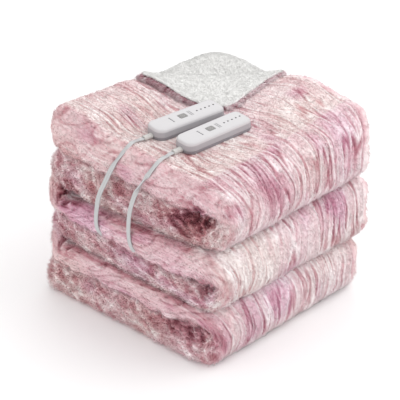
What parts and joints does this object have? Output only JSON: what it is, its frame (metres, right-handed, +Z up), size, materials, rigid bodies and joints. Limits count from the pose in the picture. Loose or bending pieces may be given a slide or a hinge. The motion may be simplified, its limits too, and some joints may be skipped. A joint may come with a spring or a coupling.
{
  "type": "electric heated blanket",
  "caption": "Folded electric heated blanket in ruched tie-dyed plush with a white sherpa lining, a corner turned back, and hand controllers on top with leads into the folds.",
  "frame": {"origin": "centre of the blanket's footprint, on the table", "axes": "+Z up; X runs along the folds, with the leads' side at -X; -Y is the side where three folds show"},
  "size_m": [0.4108, 0.412, 0.3682],
  "materials": {
    "plush": "ruched plush, tie-dyed rose, pink and mauve with pale tips",
    "sherpa": "curly white sherpa",
    "housing": "smooth white, softly glossy",
    "key": "satin grey",
    "light": "dark clear window, unlit",
    "gland": "light grey, soft, grooved",
    "lead": "pale grey, flat, finely ribbed"
  },
  "bodies": {
    "blanket": {"blanket_fur": "plush", "blanket_lining": "sherpa", "controller_1_base": "housing", "controller_1_cover": "housing", "controller_1_light_1": "light", "controller_1_light_2": "light", "controller_1_light_3": "light", "controller_1_light_4": "light", "controller_1_light_5": "light", "controller_1_gland": "gland", "controller_2_base": "housing", "controller_2_cover": "housing", "controller_2_light_1": "light", "controller_2_light_2": "light", "controller_2_light_3": "light", "controller_2_light_4": "light", "controller_2_light_5": "light", "controller_2_gland": "gland", "lead_1": "lead", "lead_2": "lead"},
    "key_1": {"controller_1_key": "key"},
    "key_2": {"controller_2_key": "key"}
  },
  "joints": [
    {"name": "key_1_press", "type": "slide", "parent": "blanket", "child": "key_1", "axis": [0, 0, 1], "range_m": [-0.0007, 0], "stiffness_N_per_m": 900},
    {"name": "key_2_press", "type": "slide", "parent": "blanket", "child": "key_2", "axis": [0, 0, 1], "range_m": [-0.0007, 0], "stiffness_N_per_m": 900}
  ]
}
